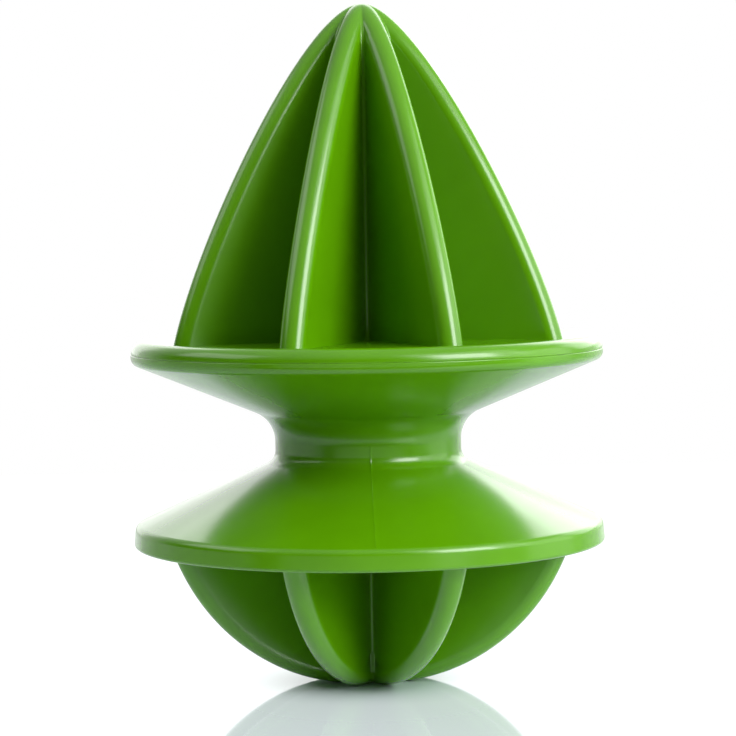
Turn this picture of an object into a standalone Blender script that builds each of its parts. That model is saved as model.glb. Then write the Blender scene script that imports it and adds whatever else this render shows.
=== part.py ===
"""Double-ended hand reamer for citrus fruit, in moulded green plastic.

A tall pointed head with eight fins and a shallow rounded head with eight fins sit on the two ends
of a hollow spool that the hand holds round its waist. The pointed head's collar plate lies on the
spool's upper flange, and the line between them runs round the rim. The rounded head's plate nests
flush in the lower flange. A spigot under the pointed head plugs into a socket on the rounded head
and clamps the spool between them. A flat silicone ring closes each joint against juice.

The reamer stands upright on the small flat of its rounded head, with the origin at its centre.
All sizes are in metres and +Z is up.
"""
import math

import bmesh
import bpy

# Round stretches
TURN_STEPS = 52
ARC_STEP = math.radians(16)

# Collars and rims
COLLAR_RADIUS = 0.045
RIM_FACE_HEIGHT = 0.0037
RIM_ROUNDING = 0.0016
LIP_ROUNDING = 0.0008

# Grip: a hollow spool with a cone-shaped flange at each end
NECK_RADIUS = 0.0177
NECK_HEIGHT = 0.0081
UPPER_FLANGE_RISE = 0.01075
LOWER_FLANGE_RISE = 0.01225
UPPER_NECK_FILLET = 0.0075
LOWER_NECK_FILLET = 0.004
GRIP_WALL = 0.0022
MOUTH_INSET = 0.008

# Fins, the same on both heads
FIN_COUNT = 8
FIN_THICKNESS = 0.0048
VALLEY_FILLET = 0.001
FIN_SEAT = 0.001
TIP_NOSE_SHARE = 0.8
NOSE_STEPS = 3
VALLEY_STEPS = 2

# Pointed head: its outline is one Bezier curve from the collar to the tip
POINTED_HEIGHT = 0.06395
POINTED_MARGIN = 0.00605
FLANK_LEAN = math.radians(14)
FLANK_PULL = 0.0212
TIP_PULL = 0.0108
POINTED_LEVELS = 17

# Rounded head: part of a sphere with a small flat to stand on
ROUNDED_DEPTH = 0.0268
ROUNDED_MARGIN = 0.0057
REST_RADIUS = 0.0075
ROUNDED_LEVELS = 11

# Collar plates under the fins
PLATE_THICKNESS = 0.0021
NEST_LIP = 0.0035
SKIRT_WALL = 0.0022

# Spigot, socket and the hollow cores of the heads
SOCKET_CLEARANCE = 0.0045
SOCKET_WALL = 0.0022
SOCKET_HEIGHT = 0.020
SPIGOT_WALL = 0.0024
SPIGOT_ENGAGEMENT = 0.016
CORE_WALL = 0.0025
CORE_TOP_SHARE_OF_BASE = 0.5
POINTED_CORE_COVER = 0.018
ROUNDED_CORE_COVER = 0.006

# Silicone seal rings
SEAL_WIDTH = 0.0018
SEAL_THICKNESS = 0.001

# Clearance between pieces that touch
JOINT_GAP = 0.0003

# Colours, as linear RGB, and how rough each surface is
GREEN = (0.095, 0.33, 0.004, 1.0)
PLASTIC_ROUGHNESS = 0.22
SILICONE = (0.62, 0.62, 0.58, 1.0)
SILICONE_ROUGHNESS = 0.6

# Heights worked out from the sizes above
LOWER_RIM_BOTTOM = ROUNDED_DEPTH
LOWER_RIM_CORNER = LOWER_RIM_BOTTOM + RIM_FACE_HEIGHT
NECK_BOTTOM = LOWER_RIM_CORNER + LOWER_FLANGE_RISE
NECK_TOP = NECK_BOTTOM + NECK_HEIGHT
UPPER_RIM_CORNER = NECK_TOP + UPPER_FLANGE_RISE
UPPER_RIM_TOP = UPPER_RIM_CORNER + RIM_FACE_HEIGHT
TIP = UPPER_RIM_TOP + POINTED_HEIGHT
UPPER_PLATE_BOTTOM = UPPER_RIM_TOP - PLATE_THICKNESS
UPPER_LAND = UPPER_PLATE_BOTTOM - JOINT_GAP
LOWER_PLATE_TOP = LOWER_RIM_BOTTOM + PLATE_THICKNESS
LOWER_LAND = LOWER_PLATE_TOP + JOINT_GAP

# Radii worked out from the sizes above
MOUTH_RADIUS = COLLAR_RADIUS - MOUTH_INSET
NEST_RADIUS = COLLAR_RADIUS - NEST_LIP
SKIRT_RADIUS = MOUTH_RADIUS - JOINT_GAP
SEAL_RADIUS = (MOUTH_RADIUS + NEST_RADIUS + JOINT_GAP) / 2
SOCKET_RADIUS = NECK_RADIUS - GRIP_WALL - SOCKET_CLEARANCE
SOCKET_BORE_RADIUS = SOCKET_RADIUS - SOCKET_WALL
SPIGOT_RADIUS = SOCKET_BORE_RADIUS - JOINT_GAP
BORE_RADIUS = SPIGOT_RADIUS - SPIGOT_WALL
SOCKET_TOP = LOWER_PLATE_TOP + SOCKET_HEIGHT
SPIGOT_BOTTOM = SOCKET_TOP - SPIGOT_ENGAGEMENT

# The fins' shape in plan: half a fin spans this angle, and a fillet rounds each valley
HALF_PITCH = math.pi / FIN_COUNT
HALF_FIN = FIN_THICKNESS / 2
FILLET_CENTRE = (HALF_FIN + VALLEY_FILLET) / math.sin(HALF_PITCH)
VALLEY_RADIUS = FILLET_CENTRE - VALLEY_FILLET
FLANK_START = FILLET_CENTRE * math.cos(HALF_PITCH)
CORE_RADIUS = VALLEY_RADIUS - CORE_WALL


def clear_scene():
    for obj in list(bpy.data.objects):
        bpy.data.objects.remove(obj, do_unlink=True)


def plastic(name, colour, roughness):
    material = bpy.data.materials.new(name)
    material.use_nodes = True
    shader = material.node_tree.nodes["Principled BSDF"]
    shader.inputs["Base Color"].default_value = colour
    shader.inputs["Roughness"].default_value = roughness
    shader.inputs["Metallic"].default_value = 0.0
    return material


def object_from(name, bm, material=None):
    """Turn a bmesh into an object, smooth except at sharp corners."""
    bmesh.ops.recalc_face_normals(bm, faces=bm.faces)
    mesh = bpy.data.meshes.new(name)
    bm.to_mesh(mesh)
    bm.free()
    mesh.shade_smooth()
    mesh.set_sharp_from_angle(angle=math.radians(35))
    obj = bpy.data.objects.new(name, mesh)
    bpy.context.collection.objects.link(obj)
    if material:
        mesh.materials.append(material)
    return obj


def as_guide(obj):
    """Mark an object as a shape that only cuts or adds to another one."""
    obj.display_type = 'WIRE'
    obj.hide_render = True
    return obj


def combine(obj, other, operation):
    modifier = obj.modifiers.new(operation.lower() + "_" + other.name, 'BOOLEAN')
    modifier.operation = operation
    modifier.solver = 'EXACT'
    modifier.object = other


def arc(centre, radius, start, end):
    """Points along an arc, both ends included, as (radius from the axis, height)."""
    steps = max(1, round(abs(end - start) / ARC_STEP))
    points = []
    for i in range(steps + 1):
        angle = start + (end - start) * i / steps
        points.append((centre[0] + radius * math.cos(angle), centre[1] + radius * math.sin(angle)))
    return points


def turned(name, profile, material=None):
    """Spin a closed outline of (radius, height) points round the Z axis."""
    bm = bmesh.new()
    verts = [bm.verts.new((radius, 0.0, height)) for radius, height in profile]
    edges = [bm.edges.new((verts[i - 1], verts[i])) for i in range(len(verts))]
    bmesh.ops.spin(bm, geom=verts + edges, cent=(0, 0, 0), axis=(0, 0, 1),
                   angle=2 * math.pi, steps=TURN_STEPS, use_merge=True)
    return object_from(name, bm, material)


def rim_corner(slope, rounding):
    """How far a rounding reaches along the rim's face and the flange that slopes away from it."""
    return rounding / math.tan((math.pi / 2 + slope) / 2)


class Flange:
    """One cone-shaped flange of the grip, from the collar's corner to the neck."""

    def __init__(self, corner, rise, fillet, towards_neck):
        self.run = COLLAR_RADIUS - NECK_RADIUS
        self.slope = math.atan2(rise, self.run)
        self.corner = corner
        self.way = towards_neck
        self.neck_height = corner + towards_neck * rise
        self.fillet = fillet

    def reach(self):
        """How far the neck fillet runs along the neck."""
        return self.fillet * math.tan((math.pi / 2 - self.slope) / 2)

    def height(self, radius, wall=0.0):
        """Height of the flange's surface, or of the inner one a wall away from it."""
        outer = self.corner + self.way * (COLLAR_RADIUS - radius) * math.tan(self.slope)
        return outer - self.way * wall / math.cos(self.slope)

    def neck_arc(self, wall=0.0):
        """Fillet into the neck, from the flange's end to the neck's end."""
        centre = (NECK_RADIUS + self.fillet, self.neck_height + self.way * self.reach())
        start = -self.way * (math.pi / 2 + self.slope)
        end = -self.way * math.pi
        return arc(centre, self.fillet + wall, start, end)

    def rim_arc(self):
        """Small rounding between the rim's face and the flange, from the rim's face on."""
        reach = rim_corner(self.slope, LIP_ROUNDING)
        centre = (COLLAR_RADIUS - LIP_ROUNDING, self.corner - self.way * reach)
        return arc(centre, LIP_ROUNDING, 0.0, self.way * (math.pi / 2 - self.slope))


def make_flanges():
    """Both flanges, with neck fillets that share the neck's height where it is short."""
    upper = Flange(UPPER_RIM_CORNER, UPPER_FLANGE_RISE, UPPER_NECK_FILLET, -1)
    lower = Flange(LOWER_RIM_CORNER, LOWER_FLANGE_RISE, LOWER_NECK_FILLET, 1)
    share = min(1.0, 0.98 * NECK_HEIGHT / (upper.reach() + lower.reach()))
    upper.fillet *= share
    lower.fillet *= share
    return upper, lower


UPPER_FLANGE, LOWER_FLANGE = make_flanges()


def grip_spool():
    """Hollow spool: outer side from top to bottom, then back up the inner side."""
    groove = SEAL_WIDTH / 2 + JOINT_GAP
    depth = SEAL_THICKNESS + JOINT_GAP
    outer = [(COLLAR_RADIUS, UPPER_LAND)]
    outer += UPPER_FLANGE.rim_arc()
    outer += UPPER_FLANGE.neck_arc()
    outer += reversed(LOWER_FLANGE.neck_arc())
    outer += reversed(LOWER_FLANGE.rim_arc())
    centre = (COLLAR_RADIUS - RIM_ROUNDING, LOWER_RIM_BOTTOM + RIM_ROUNDING)
    outer += arc(centre, RIM_ROUNDING, 0.0, -math.pi / 2)
    inner = [(NEST_RADIUS + JOINT_GAP, LOWER_RIM_BOTTOM), (NEST_RADIUS + JOINT_GAP, LOWER_LAND),
             (SEAL_RADIUS + groove, LOWER_LAND), (SEAL_RADIUS + groove, LOWER_LAND + depth),
             (SEAL_RADIUS - groove, LOWER_LAND + depth), (SEAL_RADIUS - groove, LOWER_LAND),
             (MOUTH_RADIUS, LOWER_LAND),
             (MOUTH_RADIUS, LOWER_FLANGE.height(MOUTH_RADIUS, GRIP_WALL))]
    inner += LOWER_FLANGE.neck_arc(GRIP_WALL)
    inner += reversed(UPPER_FLANGE.neck_arc(GRIP_WALL))
    inner += [(MOUTH_RADIUS, UPPER_FLANGE.height(MOUTH_RADIUS, GRIP_WALL)),
              (MOUTH_RADIUS, UPPER_LAND),
              (SEAL_RADIUS - groove, UPPER_LAND), (SEAL_RADIUS - groove, UPPER_LAND - depth),
              (SEAL_RADIUS + groove, UPPER_LAND - depth), (SEAL_RADIUS + groove, UPPER_LAND)]
    return turned("grip_spool", outer + inner, plastic("green_grip_plastic", GREEN, PLASTIC_ROUGHNESS))


def seal_ring(name, lowest):
    inside = SEAL_RADIUS - SEAL_WIDTH / 2
    outside = SEAL_RADIUS + SEAL_WIDTH / 2
    highest = lowest + SEAL_THICKNESS
    profile = [(outside, highest), (outside, lowest), (inside, lowest), (inside, highest)]
    return turned(name, profile, plastic(name + "_silicone", SILICONE, SILICONE_ROUGHNESS))


def section(radius):
    """Half of one fin in plan, where it reaches out to the given radius, as (along, across) points.

    The fin is a straight web with a full-round nose, and a fillet in the valley joins it to the
    next fin. Near the tip, where the web has no straight stretch left, the fillet meets the nose.
    """
    nose = min(HALF_FIN, radius * TIP_NOSE_SHARE)
    centre = radius - nose
    straight = centre >= FLANK_START
    if straight:
        valley = FILLET_CENTRE
        turn = math.pi / 2
    else:
        across = centre * math.sin(HALF_PITCH)
        valley = centre * math.cos(HALF_PITCH) + math.sqrt((nose + VALLEY_FILLET) ** 2 - across ** 2)
        turn = math.atan2(valley * math.sin(HALF_PITCH), valley * math.cos(HALF_PITCH) - centre)
    nose_steps = NOSE_STEPS if straight else NOSE_STEPS + 1
    half = []
    for i in range(nose_steps + 1):
        angle = turn * i / nose_steps
        half.append((centre + nose * math.cos(angle), nose * math.sin(angle)))
    start = turn + math.pi
    end = HALF_PITCH + math.pi
    for i in range(0 if straight else 1, VALLEY_STEPS + 1):
        angle = start + (end - start) * i / VALLEY_STEPS
        half.append((valley * math.cos(HALF_PITCH) + VALLEY_FILLET * math.cos(angle),
                     valley * math.sin(HALF_PITCH) + VALLEY_FILLET * math.sin(angle)))
    return half


def star(radius):
    """The whole outline in plan: the halves of every fin, with valleys between them."""
    half = section(radius)
    fin = [(x, -y) for x, y in reversed(half[:-1])] + half[1:]
    points = []
    for k in range(FIN_COUNT):
        heading = (2 * k + 1) * HALF_PITCH
        cos, sin = math.cos(heading), math.sin(heading)
        points += [(x * cos - y * sin, x * sin + y * cos) for x, y in fin]
    return points


def fins(name, levels, apex=None):
    """Loft the fins' outline through (radius, height) levels, from one end to the other."""
    bm = bmesh.new()
    rings = []
    for radius, height in levels:
        ring = [bm.verts.new((x, y, height)) for x, y in star(radius)]
        rings.append(ring)
    count = len(rings[0])
    for low, high in zip(rings, rings[1:]):
        for i in range(count):
            bm.faces.new((low[i - 1], low[i], high[i], high[i - 1]))
    bm.faces.new(reversed(rings[0]))
    if apex is None:
        bm.faces.new(rings[-1])
    else:
        top = bm.verts.new((0.0, 0.0, apex))
        for i in range(count):
            bm.faces.new((rings[-1][i - 1], rings[-1][i], top))
    return as_guide(object_from(name, bm))


def bezier(points, t):
    a, b, c, d = points
    s = 1 - t
    weights = (s ** 3, 3 * s * s * t, 3 * s * t * t, t ** 3)
    return (sum(w * p[0] for w, p in zip(weights, (a, b, c, d))),
            sum(w * p[1] for w, p in zip(weights, (a, b, c, d))))


def pointed_fins():
    """Fins of the pointed head, set a little into the collar plate."""
    base = COLLAR_RADIUS - POINTED_MARGIN
    control = ((base, UPPER_RIM_TOP),
               (base - FLANK_PULL * math.sin(FLANK_LEAN), UPPER_RIM_TOP + FLANK_PULL * math.cos(FLANK_LEAN)),
               (TIP_PULL, TIP),
               (0.0, TIP))
    levels = [(base, UPPER_RIM_TOP - FIN_SEAT)]
    for i in range(POINTED_LEVELS):
        levels.append(bezier(control, i / POINTED_LEVELS))
    return fins("pointed_fins", levels, apex=TIP)


def rounded_fins():
    """Fins of the rounded head, from the flat it stands on up into the collar plate."""
    base = COLLAR_RADIUS - ROUNDED_MARGIN
    height = ((base ** 2 - REST_RADIUS ** 2) / ROUNDED_DEPTH + ROUNDED_DEPTH) / 2
    sphere = math.hypot(REST_RADIUS, height)
    first = math.asin(REST_RADIUS / sphere)
    last = math.atan2(base, height - ROUNDED_DEPTH)
    levels = []
    for i in range(ROUNDED_LEVELS + 1):
        angle = first + (last - first) * i / ROUNDED_LEVELS
        levels.append((sphere * math.sin(angle), height - sphere * math.cos(angle)))
    levels.append((base, ROUNDED_DEPTH + FIN_SEAT))
    return fins("rounded_fins", levels)


def core(name, wide_end, narrow_end):
    """Tapered core that hollows a head from its plate side."""
    bm = bmesh.new()
    bmesh.ops.create_cone(bm, cap_ends=True, segments=24, radius1=CORE_RADIUS,
                          radius2=CORE_RADIUS * CORE_TOP_SHARE_OF_BASE, depth=abs(narrow_end - wide_end))
    if narrow_end < wide_end:
        bmesh.ops.scale(bm, vec=(1, 1, -1), verts=bm.verts)
    bmesh.ops.translate(bm, vec=(0, 0, (wide_end + narrow_end) / 2), verts=bm.verts)
    return as_guide(object_from(name, bm))


def pointed_reamer():
    """Pointed head: fins on a collar plate, with a locating skirt and a hollow spigot below."""
    skirt_end = UPPER_FLANGE.height(SKIRT_RADIUS, GRIP_WALL) + JOINT_GAP
    rounding = (COLLAR_RADIUS - RIM_ROUNDING, UPPER_RIM_TOP - RIM_ROUNDING)
    profile = arc(rounding, RIM_ROUNDING, math.pi / 2, 0.0)
    profile += [(COLLAR_RADIUS, UPPER_PLATE_BOTTOM),
                (SKIRT_RADIUS, UPPER_PLATE_BOTTOM), (SKIRT_RADIUS, skirt_end),
                (SKIRT_RADIUS - SKIRT_WALL, skirt_end), (SKIRT_RADIUS - SKIRT_WALL, UPPER_PLATE_BOTTOM),
                (SPIGOT_RADIUS, UPPER_PLATE_BOTTOM), (SPIGOT_RADIUS, SPIGOT_BOTTOM),
                (BORE_RADIUS, SPIGOT_BOTTOM), (BORE_RADIUS, UPPER_RIM_TOP)]
    body = turned("pointed_reamer", profile, plastic("green_head_plastic", GREEN, PLASTIC_ROUGHNESS))
    combine(body, pointed_fins(), 'UNION')
    combine(body, core("pointed_core", UPPER_PLATE_BOTTOM, TIP - POINTED_CORE_COVER), 'DIFFERENCE')
    return body


def rounded_reamer():
    """Rounded head: fins under a plate that nests in the grip, with a socket on its upper side."""
    skirt_end = LOWER_FLANGE.height(SKIRT_RADIUS, GRIP_WALL) - JOINT_GAP
    profile = [(BORE_RADIUS, LOWER_RIM_BOTTOM), (BORE_RADIUS, LOWER_PLATE_TOP),
               (SOCKET_BORE_RADIUS, LOWER_PLATE_TOP), (SOCKET_BORE_RADIUS, SOCKET_TOP),
               (SOCKET_RADIUS, SOCKET_TOP), (SOCKET_RADIUS, LOWER_PLATE_TOP),
               (SKIRT_RADIUS - SKIRT_WALL, LOWER_PLATE_TOP), (SKIRT_RADIUS - SKIRT_WALL, skirt_end),
               (SKIRT_RADIUS, skirt_end), (SKIRT_RADIUS, LOWER_PLATE_TOP),
               (NEST_RADIUS, LOWER_PLATE_TOP), (NEST_RADIUS, LOWER_RIM_BOTTOM)]
    body = turned("rounded_reamer", profile, plastic("green_foot_plastic", GREEN, PLASTIC_ROUGHNESS))
    combine(body, rounded_fins(), 'UNION')
    combine(body, core("rounded_core", LOWER_PLATE_TOP, ROUNDED_CORE_COVER), 'DIFFERENCE')
    return body


def main():
    clear_scene()
    pointed_reamer()
    grip_spool()
    rounded_reamer()
    seal_ring("upper_seal_ring", UPPER_LAND - SEAL_THICKNESS)
    seal_ring("lower_seal_ring", LOWER_LAND)


main()
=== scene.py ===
"""Looks of the double-ended citrus reamer.

The three green mouldings are modelled again with fine curves and stand for their CAD solids: the
pointed head, the spool-shaped grip and the rounded head. The two silicone seal rings stay as the
CAD has them. The tool stands on a glossy white table in a white studio with softboxes. All sizes
are in metres, and +Z is up.
"""
import math

import bpy
from mathutils import Matrix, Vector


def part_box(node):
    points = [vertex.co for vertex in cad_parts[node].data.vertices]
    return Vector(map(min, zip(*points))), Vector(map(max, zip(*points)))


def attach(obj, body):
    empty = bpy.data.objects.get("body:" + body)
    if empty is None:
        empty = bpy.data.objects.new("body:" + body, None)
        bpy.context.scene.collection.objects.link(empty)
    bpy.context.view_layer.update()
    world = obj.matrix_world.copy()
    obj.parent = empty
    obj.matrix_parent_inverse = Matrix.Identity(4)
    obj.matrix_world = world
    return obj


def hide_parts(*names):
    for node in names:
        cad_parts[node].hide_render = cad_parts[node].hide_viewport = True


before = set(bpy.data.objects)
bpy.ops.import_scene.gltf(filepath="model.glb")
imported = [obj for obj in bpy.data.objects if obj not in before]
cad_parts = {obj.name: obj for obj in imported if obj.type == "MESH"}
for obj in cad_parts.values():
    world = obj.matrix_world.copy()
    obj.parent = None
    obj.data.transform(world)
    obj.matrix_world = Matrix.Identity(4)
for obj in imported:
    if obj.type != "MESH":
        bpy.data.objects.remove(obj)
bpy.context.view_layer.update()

# Sizes of the CAD model, some of them trimmed by a fraction of a millimetre for the looks.
# The grip: two rims, two cone-shaped flanges and the neck between them
COLLAR_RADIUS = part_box("grip_spool")[1][0]
LOWER_RIM_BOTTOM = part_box("grip_spool")[0][2]
UPPER_RIM_HEIGHT = 0.00385
LOWER_RIM_HEIGHT = 0.0039
LOWER_RIM_EDGE = 0.0006
LOWER_RIM_LEAN = math.radians(4)
LIP_ROUNDING = 0.0016
NECK_RADIUS = 0.0178
NECK_HEIGHT = 0.0077
UPPER_FLANGE_RISE = 0.0113
LOWER_FLANGE_RISE = 0.01205
UPPER_NECK_FILLET = 0.0062
LOWER_NECK_FILLET = 0.0028
GRIP_WALL = 0.0022

# The plates of the two heads, and how they nest in the grip
MOUTH_RADIUS = COLLAR_RADIUS - 0.008
NEST_RADIUS = COLLAR_RADIUS - 0.0035
PLATE_THICKNESS = 0.0021
UPPER_RIM_ROUNDING = 0.0024
SKIRT_RADIUS = MOUTH_RADIUS - 0.0003
SKIRT_WALL = 0.0022
NEST_GAP = 0.0003
SEAL_THICKNESS = 0.001
GROOVE_HALF_WIDTH = 0.0012
GROOVE_RADIUS = (MOUTH_RADIUS + NEST_RADIUS + NEST_GAP) / 2

# The spigot below the pointed head, its socket above the rounded one, and their hollow cores
SOCKET_RADIUS = 0.011
SOCKET_BORE_RADIUS = 0.0088
SOCKET_DEPTH = 0.020
SPIGOT_RADIUS = 0.0085
SPIGOT_OVERLAP = 0.016
BORE_RADIUS = 0.0061
CORE_RADIUS = 0.005385
POINTED_CORE_BELOW_TIP = 0.018
ROUNDED_CORE_END = 0.006
CORE_SIDES = 64

# Fins, the same on both heads
FIN_COUNT = 8
HALF_FIN = 0.0024
VALLEY_FILLET = 0.0005
FIN_SEAT = 0.001

# The pointed head's outline is a Bezier curve that leaves the plate with this lean
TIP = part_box("pointed_reamer")[1][2]
POINTED_BASE = COLLAR_RADIUS - 0.00605
POINTED_LEAN = math.radians(14)
POINTED_BASE_HANDLE = 0.0212
POINTED_TIP_HANDLE = 0.0108

# The rounded head's outline is part of a sphere, with a small flat to stand on
ROUNDED_BASE = COLLAR_RADIUS - 0.00525
REST_RADIUS = 0.0075

# Fine detail that only the looks need
TURN_STEPS = 256
ARC_STEP = math.radians(5)
EDGE_ROUNDING = 0.00022
NOSE_STEPS = 12
VALLEY_STEPS = 6
POINTED_LEVELS = 64
ROUNDED_LEVELS = 44
MERGE_DISTANCE = 0.000002
CUT_PRECISION = 0.000001

# How far the fins' surfaces run on into the plates, and an upper cut that lies clear of the tip
POINTED_RUN_ON = 0.003
ROUNDED_RUN_ON = math.radians(4)
ABOVE_TIP = 0.01

# The fin's section turns from level to square to the outline over this distance near the tip
TILT_FADE = 0.006
# Two points just inside the ends of each flank keep its shading flat, as shares of its length
FLANK_POINTS = (0.02, 0.98)

# The joint line in the upper rim: a gap, the roundings above and below it, and a small step
RIM_LINE = 0.00001
RIM_LINE_UPPER_EDGE = 0.00002
RIM_LINE_LOWER_EDGE = 0.0002
RIM_STEP = 0.00009
# The upper rim's low crest, and where it comes down to the plate
RIM_CREST = 0.0004
CREST_FOOT = COLLAR_RADIUS - 0.0055

# The ridge of the mould's parting line: crest and sides from the surface, and the root under it
RIDGE_HEIGHT = 0.00006
RIDGE_WIDTH = 0.0003
RIDGE_ROOT = 0.0004

# Faces that meet at less than this are shaded as one, and large faces lead by this much
SMOOTH_ANGLE = math.radians(32)
FACE_WEIGHT = 80

# Heights
LOWER_RIM_CORNER = LOWER_RIM_BOTTOM + LOWER_RIM_HEIGHT
UPPER_RIM_CORNER = LOWER_RIM_CORNER + LOWER_FLANGE_RISE + NECK_HEIGHT + UPPER_FLANGE_RISE
UPPER_RIM_TOP = UPPER_RIM_CORNER + UPPER_RIM_HEIGHT
UPPER_PLATE_BOTTOM = UPPER_RIM_TOP - PLATE_THICKNESS
UPPER_LAND = UPPER_PLATE_BOTTOM - RIM_LINE
LOWER_PLATE_TOP = LOWER_RIM_BOTTOM + PLATE_THICKNESS
LOWER_LAND = LOWER_PLATE_TOP + NEST_GAP
SEAL_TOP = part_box("upper_seal_ring")[1][2]
SOCKET_TOP = LOWER_PLATE_TOP + SOCKET_DEPTH
SPIGOT_BOTTOM = SOCKET_TOP - SPIGOT_OVERLAP

# Where the straight flanks of two neighbouring fins end in the valley's fillet
HALF_PITCH = math.pi / FIN_COUNT
FILLET_REACH = HALF_FIN + VALLEY_FILLET
FLANK_END = FILLET_REACH / math.tan(HALF_PITCH)


# Modelling

def start(name):
    """Name the primitive that was just added and open it for editing, all of it selected."""
    piece = bpy.context.object
    piece.name = name
    piece.data.name = name
    bpy.ops.object.mode_set(mode='EDIT')
    bpy.ops.mesh.select_mode(type='VERT')
    bpy.ops.mesh.select_all(action='SELECT')
    return piece


def close_up():
    """Merge what touches, point the faces outwards and leave edit mode."""
    bpy.ops.mesh.select_all(action='SELECT')
    bpy.ops.mesh.remove_doubles(threshold=MERGE_DISTANCE)
    bpy.ops.mesh.normals_make_consistent(inside=False)
    bpy.ops.object.mode_set(mode='OBJECT')


def arc(centre, radius, first, last):
    """Points along an arc, both ends included, as (radius from the axis, height)."""
    steps = max(2, round(abs(last - first) / ARC_STEP))
    points = []
    for i in range(steps + 1):
        angle = first + (last - first) * i / steps
        points.append((centre[0] + radius * math.cos(angle), centre[1] + radius * math.sin(angle)))
    return points


def lathed(name, outline):
    """Draw a closed outline by extruding one vertex along it, then spin it round the Z axis."""
    bpy.ops.object.select_all(action='DESELECT')
    bpy.ops.mesh.primitive_plane_add(size=0.001, location=(0, 0, 0))
    piece = start(name)
    bpy.ops.mesh.merge(type='CENTER')
    here = (0.0, 0.0)
    for i, point in enumerate(outline + outline[:1]):
        move = (point[0] - here[0], 0, point[1] - here[1])
        if i == 0:
            bpy.ops.transform.translate(value=move)
        else:
            bpy.ops.mesh.extrude_vertices_move(TRANSFORM_OT_translate={"value": move})
        here = point
    bpy.ops.mesh.select_all(action='SELECT')
    bpy.ops.mesh.remove_doubles(threshold=MERGE_DISTANCE)
    bpy.ops.mesh.spin(steps=TURN_STEPS, angle=2 * math.pi, center=(0, 0, 0), axis=(0, 0, 1))
    close_up()
    return piece


def half_fin(radius, height, facing):
    """Half of a fin, from its edge to the valley, as (along, across, up) points.

    The outline passes (radius, height) and faces the angle facing above the level. The edge is a
    full round square to the outline. The flank runs in from it level, or along the facing near the
    tip, where no straight flank is left, and a fillet joins it to the next fin.
    """
    along = radius - HALF_FIN * math.cos(facing)
    up = height - HALF_FIN * math.sin(facing)
    spread = math.tan(HALF_PITCH)
    straight = along > FLANK_END
    if straight:
        fade = max(0.0, 1 - (along - FLANK_END) / TILT_FADE)
        tilt = facing * fade * fade * (3 - 2 * fade)
        line = math.atan(math.cos(tilt) * spread)
        centre = ((FLANK_END - along) / math.cos(tilt), FILLET_REACH)
        turn = math.pi / 2
    else:
        tilt = facing
        line = math.atan(math.cos(tilt) * spread)
        ahead = along * spread * math.sin(line)
        reach = math.sqrt(ahead ** 2 - (along * spread) ** 2 + FILLET_REACH ** 2) - ahead
        centre = (reach * math.cos(line), along * spread + reach * math.sin(line))
        turn = math.atan2(centre[1], centre[0])
    edge_steps = NOSE_STEPS if straight else NOSE_STEPS + 2
    edge = [turn * i / edge_steps for i in range(edge_steps + 1)]
    points = [(HALF_FIN * math.cos(a), HALF_FIN * math.sin(a), facing) for a in edge]
    if straight:
        points += [(centre[0] * share, HALF_FIN, tilt) for share in FLANK_POINTS]
    first = turn + math.pi
    last = line + math.pi
    for i in range(0 if straight else 1, VALLEY_STEPS + 1):
        a = first + (last - first) * i / VALLEY_STEPS
        points.append((centre[0] + VALLEY_FILLET * math.cos(a),
                       centre[1] + VALLEY_FILLET * math.sin(a), tilt))
    if not straight:
        # One more point in between, so that every level has the same number of them
        before, after = points[len(edge) - 1], points[len(edge)]
        points.insert(len(edge), ((before[0] + after[0]) / 2, (before[1] + after[1]) / 2, tilt))
    return [(along + x * math.cos(slope), across, up + x * math.sin(slope))
            for x, across, slope in points]


def finned(name, levels, lowest, highest):
    """Model one fin from valley to valley on a grid, copy it round the axis, and cut all the fins
    level at both ends."""
    rows = []
    for level in levels:
        half = half_fin(*level)
        rows.append([(x, -y, z) for x, y, z in reversed(half[1:])] + half)
    width = len(rows[0])
    bpy.ops.object.select_all(action='DESELECT')
    bpy.ops.mesh.primitive_grid_add(x_subdivisions=width - 1, y_subdivisions=len(rows) - 1,
                                    size=0.01)
    grid = bpy.context.object.data
    cos, sin = math.cos(HALF_PITCH), math.sin(HALF_PITCH)
    for i, vertex in enumerate(grid.vertices):
        x, y, z = rows[i // width][i % width]
        vertex.co = (x * cos - y * sin, x * sin + y * cos, z)
    piece = start(name)
    # Each turn doubles their number, up to eight
    for turn in (math.pi, math.pi / 2, math.pi / 4):
        bpy.ops.mesh.duplicate()
        bpy.ops.transform.rotate(value=turn, orient_axis='Z', center_override=(0, 0, 0))
        bpy.ops.mesh.select_all(action='SELECT')
    bpy.ops.mesh.remove_doubles(threshold=MERGE_DISTANCE)
    bpy.ops.mesh.bisect(plane_co=(0, 0, lowest), plane_no=(0, 0, 1), use_fill=True,
                        clear_inner=True, threshold=CUT_PRECISION)
    bpy.ops.mesh.select_all(action='SELECT')
    bpy.ops.mesh.bisect(plane_co=(0, 0, highest), plane_no=(0, 0, 1), use_fill=True,
                        clear_outer=True, threshold=CUT_PRECISION)
    close_up()
    return piece


def core(name, wide_end, narrow_end):
    """Tapered core that hollows a head from its plate side."""
    depth = abs(narrow_end - wide_end)
    wide, narrow = CORE_RADIUS, CORE_RADIUS / 2
    bottom, top = (wide, narrow) if narrow_end > wide_end else (narrow, wide)
    bpy.ops.object.select_all(action='DESELECT')
    bpy.ops.mesh.primitive_cone_add(vertices=CORE_SIDES, radius1=bottom, radius2=top, depth=depth,
                                    location=(0, 0, (wide_end + narrow_end) / 2))
    piece = start(name)
    bpy.ops.object.mode_set(mode='OBJECT')
    bpy.ops.object.transform_apply(location=True)
    return piece


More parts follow.
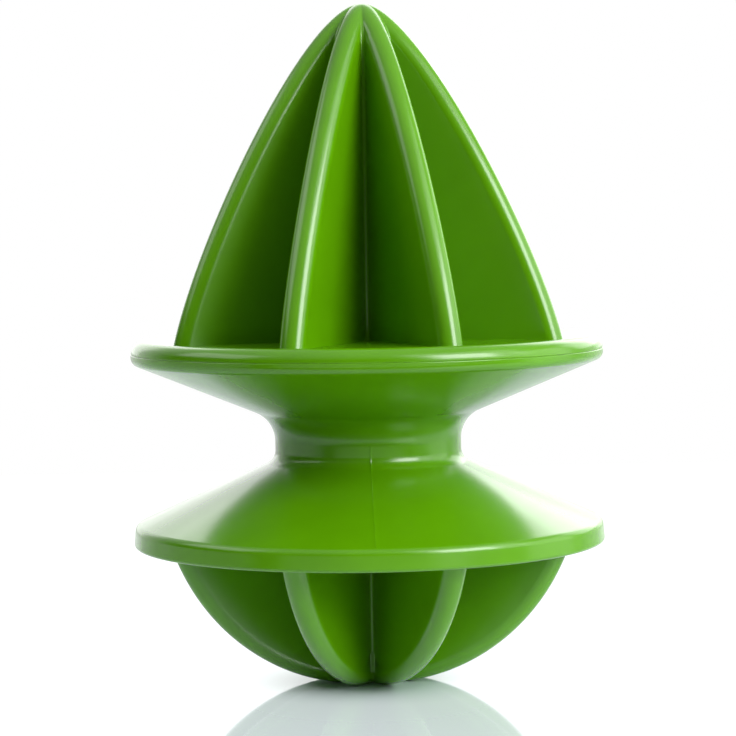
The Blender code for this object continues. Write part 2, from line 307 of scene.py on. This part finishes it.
def combined(piece, other, operation):
    """Join another shape to a piece or cut it away, and remove the other shape."""
    step = piece.modifiers.new(operation.lower(), 'BOOLEAN')
    step.operation = operation
    step.solver = 'EXACT'
    step.object = other
    bpy.ops.object.select_all(action='DESELECT')
    piece.select_set(True)
    bpy.context.view_layer.objects.active = piece
    bpy.ops.object.modifier_apply(modifier=step.name)
    bpy.data.objects.remove(other, do_unlink=True)


def moulded(piece, material, *nodes):
    """Smooth a finished moulding, give it its material and let it stand for its CAD node."""
    bpy.ops.object.select_all(action='DESELECT')
    piece.select_set(True)
    bpy.context.view_layer.objects.active = piece
    bpy.ops.object.shade_smooth_by_angle(angle=SMOOTH_ANGLE)
    step = piece.modifiers.new("even_shading", 'WEIGHTED_NORMAL')
    step.keep_sharp = True
    step.weight = FACE_WEIGHT
    bpy.ops.object.modifier_apply(modifier=step.name)
    piece.data.materials.clear()
    piece.data.materials.append(material)
    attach(piece, "root")
    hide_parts(*nodes)


class Flange:
    """One cone-shaped flange of the grip, from the corner of the rim's face to the neck.

    way is 1 where the flange rises from its rim and -1 where it falls. The rim's face leans inwards
    by the angle lean on its way to the corner. With a wall, the methods give the inner side.
    """

    def __init__(self, corner_radius, corner, rise, fillet, way, lean=0.0):
        self.corner_radius = corner_radius
        self.corner = corner
        self.way = way
        self.lean = lean
        self.slope = math.atan2(rise, corner_radius - NECK_RADIUS)
        self.neck_height = corner + way * rise
        self.fillet = fillet

    def height(self, radius, wall=0.0):
        """Height of the cone at a radius."""
        outer = self.corner + self.way * (self.corner_radius - radius) * math.tan(self.slope)
        return outer - self.way * wall / math.cos(self.slope)

    def neck_arc(self, wall=0.0):
        """The fillet from the cone into the neck, as an arc."""
        reach = self.fillet * math.tan((math.pi / 2 - self.slope) / 2)
        centre = (NECK_RADIUS + self.fillet, self.neck_height + self.way * reach)
        return arc(centre, self.fillet + wall, -self.way * (math.pi / 2 + self.slope),
                   -self.way * math.pi)

    def rim_arc(self):
        """The rounding from the rim's face into the cone, as an arc."""
        reach = LIP_ROUNDING * math.tan((math.pi / 2 - self.slope - self.lean) / 2)
        sin, cos = math.sin(self.lean), math.cos(self.lean)
        centre = (self.corner_radius + reach * sin - LIP_ROUNDING * cos,
                  self.corner - self.way * (reach * cos + LIP_ROUNDING * sin))
        return arc(centre, LIP_ROUNDING, self.way * self.lean,
                   self.way * (math.pi / 2 - self.slope))


UPPER_FLANGE = Flange(COLLAR_RADIUS, UPPER_RIM_CORNER, UPPER_FLANGE_RISE, UPPER_NECK_FILLET, -1)
LOWER_FLANGE = Flange(COLLAR_RADIUS - LOWER_RIM_HEIGHT * math.tan(LOWER_RIM_LEAN), LOWER_RIM_CORNER,
                      LOWER_FLANGE_RISE, LOWER_NECK_FILLET, 1, LOWER_RIM_LEAN)


def grip_outline():
    """Outer side of the spool, from the upper rim to the lower rim's inner edge."""
    outer = arc((COLLAR_RADIUS - RIM_LINE_LOWER_EDGE, UPPER_LAND - RIM_LINE_LOWER_EDGE),
                RIM_LINE_LOWER_EDGE, math.pi / 2, 0.0)
    outer += UPPER_FLANGE.rim_arc()
    outer += UPPER_FLANGE.neck_arc()
    outer += reversed(LOWER_FLANGE.neck_arc())
    outer += reversed(LOWER_FLANGE.rim_arc())
    outer += arc((COLLAR_RADIUS - LOWER_RIM_EDGE, LOWER_RIM_BOTTOM + LOWER_RIM_EDGE),
                 LOWER_RIM_EDGE, LOWER_RIM_LEAN, -math.pi / 2)
    return outer


def spool_grip():
    """Hollow spool: its outer side from top to bottom, then back up the inner side, with a groove
    for a seal ring in each end."""
    nest = NEST_RADIUS + NEST_GAP
    depth = SEAL_THICKNESS + NEST_GAP
    groove_out = GROOVE_RADIUS + GROOVE_HALF_WIDTH
    groove_in = GROOVE_RADIUS - GROOVE_HALF_WIDTH
    inner = arc((nest + EDGE_ROUNDING, LOWER_RIM_BOTTOM + EDGE_ROUNDING), EDGE_ROUNDING,
                -math.pi / 2, -math.pi)
    inner += [(nest, LOWER_LAND),
              (groove_out, LOWER_LAND),
              (groove_out, LOWER_LAND + depth),
              (groove_in, LOWER_LAND + depth),
              (groove_in, LOWER_LAND),
              (MOUTH_RADIUS, LOWER_LAND),
              (MOUTH_RADIUS, LOWER_FLANGE.height(MOUTH_RADIUS, GRIP_WALL))]
    inner += LOWER_FLANGE.neck_arc(GRIP_WALL)
    inner += reversed(UPPER_FLANGE.neck_arc(GRIP_WALL))
    inner += [(MOUTH_RADIUS, UPPER_FLANGE.height(MOUTH_RADIUS, GRIP_WALL)),
              (MOUTH_RADIUS, UPPER_LAND),
              (groove_in, UPPER_LAND),
              (groove_in, SEAL_TOP - depth),
              (groove_out, SEAL_TOP - depth),
              (groove_out, UPPER_LAND)]
    piece = lathed("spool_grip", grip_outline() + inner)
    combined(piece, parting_ridge(), 'UNION')
    return piece


def parting_ridge():
    """The fine ridge that the two halves of the mould leave on the grip, front and back. It is a
    thin bar along the waist and the lower flange, with its crest just above the surface."""
    path = (UPPER_FLANGE.neck_arc()[-1:] + LOWER_FLANGE.neck_arc()[::-1]
            + LOWER_FLANGE.rim_arc()[-1:])
    crest, side, root = RIDGE_HEIGHT, -RIDGE_HEIGHT / 4, -RIDGE_ROOT
    half = RIDGE_WIDTH / 2
    section = ((0.0, crest), (half, side), (half, root), (-half, root), (-half, side), (0.0, crest))
    bpy.ops.object.select_all(action='DESELECT')
    bpy.ops.mesh.primitive_grid_add(x_subdivisions=len(section) - 1, y_subdivisions=len(path) - 1,
                                    size=0.01)
    bar = bpy.context.object
    for i, vertex in enumerate(bar.data.vertices):
        row, (across, out) = i // len(section), section[i % len(section)]
        before, after = path[max(row - 1, 0)], path[min(row + 1, len(path) - 1)]
        facing = math.atan2(after[0] - before[0], before[1] - after[1])
        radius = path[row][0] + out * math.cos(facing)
        vertex.co = (across, -radius, path[row][1] + out * math.sin(facing))
        vertex.select = False
    start("parting_ridge")
    bpy.ops.mesh.remove_doubles(threshold=MERGE_DISTANCE)
    bpy.ops.mesh.select_all(action='DESELECT')
    bpy.ops.mesh.select_non_manifold(extend=False)
    bpy.ops.mesh.edge_face_add()
    bpy.ops.mesh.select_all(action='SELECT')
    bpy.ops.mesh.duplicate()
    bpy.ops.transform.rotate(value=math.pi, orient_axis='Z', center_override=(0, 0, 0))
    close_up()
    return bar


def pointed_levels():
    """The pointed head's outline, one Bezier curve from the collar to the tip."""
    control = ((POINTED_BASE, UPPER_RIM_TOP),
               (POINTED_BASE - POINTED_BASE_HANDLE * math.sin(POINTED_LEAN),
                UPPER_RIM_TOP + POINTED_BASE_HANDLE * math.cos(POINTED_LEAN)),
               (POINTED_TIP_HANDLE, TIP),
               (0.0, TIP))
    levels = [(POINTED_BASE + POINTED_RUN_ON * math.tan(POINTED_LEAN),
               UPPER_RIM_TOP - POINTED_RUN_ON, POINTED_LEAN)]
    for i in range(POINTED_LEVELS + 1):
        t = i / POINTED_LEVELS
        s = 1 - t
        radius, height = [s ** 3 * a + 3 * s * s * t * b + 3 * s * t * t * c + t ** 3 * d
                          for a, b, c, d in zip(*control)]
        out, up = [s * s * (b - a) + 2 * s * t * (c - b) + t * t * (d - c)
                   for a, b, c, d in zip(*control)]
        levels.append((radius, height, math.atan2(-out, up)))
    return levels


def rounded_levels():
    """The rounded head's outline, part of a sphere, from below its small flat up into the plate."""
    middle = ((ROUNDED_BASE ** 2 - REST_RADIUS ** 2) / LOWER_RIM_BOTTOM + LOWER_RIM_BOTTOM) / 2
    sphere = math.hypot(REST_RADIUS, middle)
    last = math.atan2(ROUNDED_BASE, middle - LOWER_RIM_BOTTOM) + ROUNDED_RUN_ON
    levels = []
    for i in range(ROUNDED_LEVELS + 1):
        angle = last * i / ROUNDED_LEVELS
        levels.append((sphere * math.sin(angle), middle - sphere * math.cos(angle),
                       angle - math.pi / 2))
    return levels


def pointed_head():
    """Pointed head: fins on a collar plate, with a locating skirt and a hollow spigot below."""
    skirt_end = UPPER_FLANGE.height(SKIRT_RADIUS, GRIP_WALL) + NEST_GAP
    edge = COLLAR_RADIUS - RIM_STEP
    outline = [(CREST_FOOT, UPPER_RIM_TOP)]
    outline += arc((edge - UPPER_RIM_ROUNDING, UPPER_RIM_TOP + RIM_CREST - UPPER_RIM_ROUNDING),
                   UPPER_RIM_ROUNDING, math.pi / 2, 0.0)
    outline += arc((edge - RIM_LINE_UPPER_EDGE, UPPER_PLATE_BOTTOM + RIM_LINE_UPPER_EDGE),
                   RIM_LINE_UPPER_EDGE, 0.0, -math.pi / 2)
    outline += [(SKIRT_RADIUS, UPPER_PLATE_BOTTOM), (SKIRT_RADIUS, skirt_end),
                (SKIRT_RADIUS - SKIRT_WALL, skirt_end),
                (SKIRT_RADIUS - SKIRT_WALL, UPPER_PLATE_BOTTOM),
                (SPIGOT_RADIUS, UPPER_PLATE_BOTTOM), (SPIGOT_RADIUS, SPIGOT_BOTTOM),
                (BORE_RADIUS, SPIGOT_BOTTOM), (BORE_RADIUS, UPPER_RIM_TOP)]
    piece = lathed("pointed_head", outline)
    fins = finned("pointed_fins", pointed_levels(), UPPER_RIM_TOP - FIN_SEAT, TIP + ABOVE_TIP)
    combined(piece, fins, 'UNION')
    hollow = core("pointed_core", UPPER_PLATE_BOTTOM, TIP - POINTED_CORE_BELOW_TIP)
    combined(piece, hollow, 'DIFFERENCE')
    return piece


def rounded_head():
    """Rounded head: fins under a plate that nests in the grip, with the spigot's socket above."""
    skirt_end = LOWER_FLANGE.height(SKIRT_RADIUS, GRIP_WALL) - NEST_GAP
    outline = [(BORE_RADIUS, LOWER_RIM_BOTTOM), (BORE_RADIUS, LOWER_PLATE_TOP),
               (SOCKET_BORE_RADIUS, LOWER_PLATE_TOP), (SOCKET_BORE_RADIUS, SOCKET_TOP),
               (SOCKET_RADIUS, SOCKET_TOP), (SOCKET_RADIUS, LOWER_PLATE_TOP),
               (SKIRT_RADIUS - SKIRT_WALL, LOWER_PLATE_TOP), (SKIRT_RADIUS - SKIRT_WALL, skirt_end),
               (SKIRT_RADIUS, skirt_end), (SKIRT_RADIUS, LOWER_PLATE_TOP),
               (NEST_RADIUS, LOWER_PLATE_TOP)]
    outline += arc((NEST_RADIUS - EDGE_ROUNDING, LOWER_RIM_BOTTOM + EDGE_ROUNDING), EDGE_ROUNDING,
                   0.0, -math.pi / 2)
    piece = lathed("rounded_head", outline)
    fins = finned("rounded_fins", rounded_levels(), 0.0, LOWER_RIM_BOTTOM + FIN_SEAT)
    combined(piece, fins, 'UNION')
    combined(piece, core("rounded_core", LOWER_PLATE_TOP, ROUNDED_CORE_END), 'DIFFERENCE')
    return piece


# Materials

def linear(code):
    """An sRGB hex colour as linear RGBA."""
    channels = [int(code[i:i + 2], 16) / 255 for i in (1, 3, 5)]
    return [c / 12.92 if c <= 0.04045 else ((c + 0.055) / 1.055) ** 2.4 for c in channels] + [1.0]


def node(tree, kind, settings=None, inputs=None, links=None):
    """Add a node with its settings, the values of its inputs, and links into its inputs."""
    added = tree.nodes.new(kind)
    for name, value in (settings or {}).items():
        setattr(added, name, value)
    for name, value in (inputs or {}).items():
        added.inputs[name].default_value = value
    for name, source in (links or {}).items():
        tree.links.new(source, added.inputs[name])
    return added


def new_material(name):
    """A material with its node tree and its Principled shader."""
    material = bpy.data.materials.new(name)
    material.use_nodes = True
    return material, material.node_tree, material.node_tree.nodes["Principled BSDF"]


def glossy_green_abs():
    """Injection-moulded ABS, coloured right through. It gives a deep, even green under a satin
    gloss that spreads each reflection a little, with faint flow clouding, a polish that isn't quite
    even, and a trace of the orange peel of a moulded surface."""
    material, tree, shader = new_material("glossy_moulded_green_abs")
    shader.inputs["IOR"].default_value = 1.53
    place = node(tree, 'ShaderNodeTexCoord').outputs["Object"]
    # Flow clouding about 14 mm across
    clouds = node(tree, 'ShaderNodeTexNoise',
                  inputs={"Scale": 1 / 0.014, "Detail": 3.0, "Roughness": 0.55},
                  links={"Vector": place})
    tint = node(tree, 'ShaderNodeValToRGB', links={"Fac": clouds.outputs["Fac"]})
    tint.color_ramp.elements[0].position = 0.3
    tint.color_ramp.elements[0].color = linear("#538E01")
    tint.color_ramp.elements[1].position = 0.7
    tint.color_ramp.elements[1].color = linear("#589502")
    tree.links.new(tint.outputs["Color"], shader.inputs["Base Color"])
    # Polish that varies over about 6 mm
    polish = node(tree, 'ShaderNodeTexNoise', inputs={"Scale": 1 / 0.006, "Detail": 4.0},
                  links={"Vector": place})
    gloss = node(tree, 'ShaderNodeMapRange',
                 inputs={"From Min": 0.3, "From Max": 0.7, "To Min": 0.19, "To Max": 0.22},
                 links={"Value": polish.outputs["Fac"]})
    tree.links.new(gloss.outputs["Result"], shader.inputs["Roughness"])
    # Orange peel 0.7 mm across and half a micrometre deep
    peel = node(tree, 'ShaderNodeTexNoise', inputs={"Scale": 1 / 0.0007, "Detail": 1.0},
                links={"Vector": place})
    bump = node(tree, 'ShaderNodeBump', inputs={"Strength": 1.0, "Distance": 0.0000005},
                links={"Height": peel.outputs["Fac"]})
    tree.links.new(bump.outputs["Normal"], shader.inputs["Normal"])
    return material


def silicone():
    """Moulded silicone rubber. It gives a soft, milky, nearly matt ring with a fine tooth."""
    material, tree, shader = new_material("milky_moulded_silicone")
    shader.inputs["IOR"].default_value = 1.41
    shader.inputs["Subsurface Weight"].default_value = 0.3
    shader.inputs["Subsurface Scale"].default_value = 0.001
    place = node(tree, 'ShaderNodeTexCoord').outputs["Object"]
    # Milky clouding about 4 mm across
    clouds = node(tree, 'ShaderNodeTexNoise', inputs={"Scale": 1 / 0.004, "Detail": 2.0},
                  links={"Vector": place})
    tint = node(tree, 'ShaderNodeValToRGB', links={"Fac": clouds.outputs["Fac"]})
    tint.color_ramp.elements[0].color = linear("#C9C9C2")
    tint.color_ramp.elements[1].color = linear("#D6D6CF")
    tree.links.new(tint.outputs["Color"], shader.inputs["Base Color"])
    # Tooth 0.15 mm across and 10 micrometres deep
    tooth = node(tree, 'ShaderNodeTexNoise', inputs={"Scale": 1 / 0.00015}, links={"Vector": place})
    gloss = node(tree, 'ShaderNodeMapRange', inputs={"To Min": 0.5, "To Max": 0.7},
                 links={"Value": tooth.outputs["Fac"]})
    tree.links.new(gloss.outputs["Result"], shader.inputs["Roughness"])
    bump = node(tree, 'ShaderNodeBump', inputs={"Strength": 1.0, "Distance": 0.00001},
                links={"Height": tooth.outputs["Fac"]})
    tree.links.new(bump.outputs["Normal"], shader.inputs["Normal"])
    return material


def shown_rays(tree, mirrored=None):
    """1 for rays that show the background: straight from the camera, mirrored or seen through. The
    mirrored ones can be given a strength of their own."""
    path = node(tree, 'ShaderNodeLightPath')
    glossy = path.outputs["Is Glossy Ray"]
    if mirrored:
        glossy = node(tree, 'ShaderNodeMath', {"operation": 'MULTIPLY'}, {},
                      {0: glossy, 1: mirrored}).outputs[0]
    straight = node(tree, 'ShaderNodeMath', {"operation": 'MAXIMUM'}, {},
                    {0: path.outputs["Is Camera Ray"], 1: path.outputs["Is Transmission Ray"]})
    return node(tree, 'ShaderNodeMath', {"operation": 'MAXIMUM'}, {},
                {0: straight.outputs[0], 1: glossy}).outputs[0]


# Stage

# The table's reach from the object, and what its sheet is like
TABLE_FRONT = 0.14
TABLE_BACK = 0.4
TABLE_WIDTH = 1.6
SHEET_COLOUR = "#DCE8F2"
SHEET_WHITE = (0.91, 1, 1, 1)
SHEET_IOR = 1.49
SHEET_ROUGHNESS = 0.06
# How much of the sheet shows as plain white glow, by distance from the object's axis. Besides
# keeping the open table evenly white, this is painted light that lightens the object's shadow on
# the sheet away from the contact
CONTACT_SHADOW_END = 0.012
GLOW_AND_SHADOW_FILL = ((0.026, 0.81), (0.16, 0.97))
OPEN_TABLE = 0.4

# The room's light, from the walls up to the ceiling
ROOM_WHITE = (0.93, 0.97, 1.0, 1.0)
WALL_LEVEL = 0.02
CEILING_LEVEL = 0.7

# Name, azimuth, elevation, distance, width, height and brightness of each softbox
WAIST = 0.06
SOFTBOXES = (("key_softbox", 48, 25, 0.75, 0.38, 0.38, 9.5),
             ("wide_softbox", 54, 28, 0.80, 0.80, 0.80, 2.0),
             ("side_softbox", 95, 14, 0.80, 0.50, 0.50, 1.8),
             ("left_softbox", -88, 36, 0.80, 0.60, 0.35, 2.0),
             ("front_strip", 0, -4, 0.60, 1.1, 0.07, 0.9),
             ("left_strip", -88, -4, 0.60, 0.7, 0.07, 0.6),
             ("back_softbox", 180, 14, 1.1, 1.5, 0.60, 1.1),
             ("high_back_softbox", 172, 37, 1.1, 1.1, 0.35, 1.8),
             ("right_back_softbox", 142, 20, 1.1, 0.8, 0.45, 2.0))

# The camera, fitted from the rims, the fins and the mirror image. Its angles are in degrees
LENS = 122.92
LENS_SHIFT = 0.0014
CAMERA_DISTANCE = 0.48
CAMERA_HEIGHT = 0.08875
CAMERA_TURN = -1.36
CAMERA_DIP = 3.432
CAMERA_ROLL = -0.93


def glossy_table():
    """White acrylic sheet. It gives a faint mirror image under the object and a contact shadow."""
    bpy.ops.object.select_all(action='DESELECT')
    bpy.ops.mesh.primitive_plane_add(size=1.0, location=(0, (TABLE_BACK - TABLE_FRONT) / 2, 0))
    table = bpy.context.object
    table.name = "glossy_table"
    table.scale = (TABLE_WIDTH, TABLE_FRONT + TABLE_BACK, 1)
    bpy.ops.object.transform_apply(location=True, scale=True)
    material, tree, shader = new_material("glossy_white_acrylic")
    tree.nodes.remove(shader)
    table.data.materials.append(material)
    # Away from the contact shadow, a part of the sheet's body colour shows as plain white glow, so
    # that
    #     # the open table has no edge. The glow grows with distance from the object's axis, so it
    #     is also
    #     # painted light that lightens the object's shadow on the sheet away from the contact
    glow = node(tree, 'ShaderNodeEmission', inputs={"Color": SHEET_WHITE, "Strength": 1.0})
    body = node(tree, 'ShaderNodeBsdfDiffuse', inputs={"Color": linear(SHEET_COLOUR)})
    place = node(tree, 'ShaderNodeTexCoord').outputs["Object"]
    reach = node(tree, 'ShaderNodeVectorMath', {"operation": 'LENGTH'}, {}, {0: place})
    clear = node(tree, 'ShaderNodeValToRGB', links={"Fac": reach.outputs["Value"]})
    clear.color_ramp.elements[0].position = CONTACT_SHADOW_END
    clear.color_ramp.elements[1].position = OPEN_TABLE
    for distance, white_part in GLOW_AND_SHADOW_FILL:
        clear.color_ramp.elements.new(distance).color = (white_part, white_part, white_part, 1)
    share = node(tree, 'ShaderNodeMath', {"operation": 'MULTIPLY'}, {},
                 {0: shown_rays(tree), 1: clear.outputs["Color"]})
    white = node(tree, 'ShaderNodeMixShader',
                 links={0: share.outputs[0], 1: body.outputs[0], 2: glow.outputs[0]})
    mirror = node(tree, 'ShaderNodeBsdfGlossy', inputs={"Roughness": SHEET_ROUGHNESS})
    fresnel = node(tree, 'ShaderNodeFresnel', inputs={"IOR": SHEET_IOR})
    sheet = node(tree, 'ShaderNodeMixShader',
                 links={0: fresnel.outputs[0], 1: white.outputs[0], 2: mirror.outputs[0]})
    tree.links.new(sheet.outputs[0], tree.nodes["Material Output"].inputs["Surface"])


def white_studio():
    """The room: a plain white backdrop, and round it a pale ceiling above dark walls."""
    world = bpy.data.worlds.new("white_studio")
    world.use_nodes = True
    bpy.context.scene.world = world
    tree = world.node_tree
    tree.nodes.clear()
    way = node(tree, 'ShaderNodeTexCoord').outputs["Generated"]
    parts = node(tree, 'ShaderNodeSeparateXYZ', links={"Vector": way})
    # The walls turn into the ceiling between about 15 and 65 degrees above the level
    ceiling = node(tree, 'ShaderNodeMapRange', {"interpolation_type": 'SMOOTHSTEP'},
                   {"From Min": 0.25, "From Max": 0.9,
                    "To Min": WALL_LEVEL, "To Max": CEILING_LEVEL},
                   {"Value": parts.outputs["Z"]})
    # A gloss mirrors the white backdrop only where that stands, behind the object
    behind = node(tree, 'ShaderNodeMapRange', {"interpolation_type": 'SMOOTHSTEP'},
                  {"From Min": 0.3, "From Max": 0.8}, {"Value": parts.outputs["Y"]})
    room = node(tree, 'ShaderNodeBackground', inputs={"Color": ROOM_WHITE},
                links={"Strength": ceiling.outputs["Result"]})
    backdrop = node(tree, 'ShaderNodeBackground', inputs={"Color": (1, 1, 1, 1), "Strength": 1.0})
    shown = shown_rays(tree, behind.outputs["Result"])
    both = node(tree, 'ShaderNodeMixShader',
                links={0: shown, 1: room.outputs[0], 2: backdrop.outputs[0]})
    node(tree, 'ShaderNodeOutputWorld', links={"Surface": both.outputs[0]})


def softbox(name, azimuth, elevation, distance, width, height, brightness):
    """A softbox aimed at the waist. Azimuth is to the right of the camera's side, both angles are
    in degrees, and a brightness of 1 is white."""
    light = bpy.data.lights.new(name, 'AREA')
    light.shape = 'RECTANGLE'
    light.size = width
    light.size_y = height
    light.energy = brightness * math.pi * width * height
    lamp = bpy.data.objects.new(name, light)
    bpy.context.collection.objects.link(lamp)
    turn, rise = math.radians(azimuth), math.radians(elevation)
    lamp.location = (distance * math.cos(rise) * math.sin(turn),
                     -distance * math.cos(rise) * math.cos(turn),
                     WAIST + distance * math.sin(rise))
    lamp.rotation_euler = (math.pi / 2 - rise, 0, turn)


def photo_camera():
    """Camera at the photograph's place."""
    camera = bpy.data.cameras.new("photo_camera")
    camera.sensor_width = 36
    camera.lens = LENS
    camera.shift_x = LENS_SHIFT
    camera.clip_start = 0.01
    rig = bpy.data.objects.new("photo_camera", camera)
    bpy.context.collection.objects.link(rig)
    turn = Matrix.Rotation(math.radians(CAMERA_TURN), 4, 'Z')
    tilt = Matrix.Rotation(math.radians(90 - CAMERA_DIP), 4, 'X')
    roll = Matrix.Rotation(math.radians(CAMERA_ROLL), 4, 'Z')
    place = Matrix.Translation((0, -CAMERA_DISTANCE, CAMERA_HEIGHT))
    rig.matrix_world = turn @ place @ tilt @ roll
    bpy.context.scene.camera = rig


# The object on its stage

photo_camera()
green = glossy_green_abs()
moulded(spool_grip(), green, "grip_spool")
moulded(pointed_head(), green, "pointed_reamer")
moulded(rounded_head(), green, "rounded_reamer")
ring_rubber = silicone()
for ring in ("upper_seal_ring", "lower_seal_ring"):
    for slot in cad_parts[ring].material_slots:
        slot.material = ring_rubber

glossy_table()
white_studio()
for box in SOFTBOXES:
    softbox(*box)
bpy.context.scene.view_settings.view_transform = 'Standard'
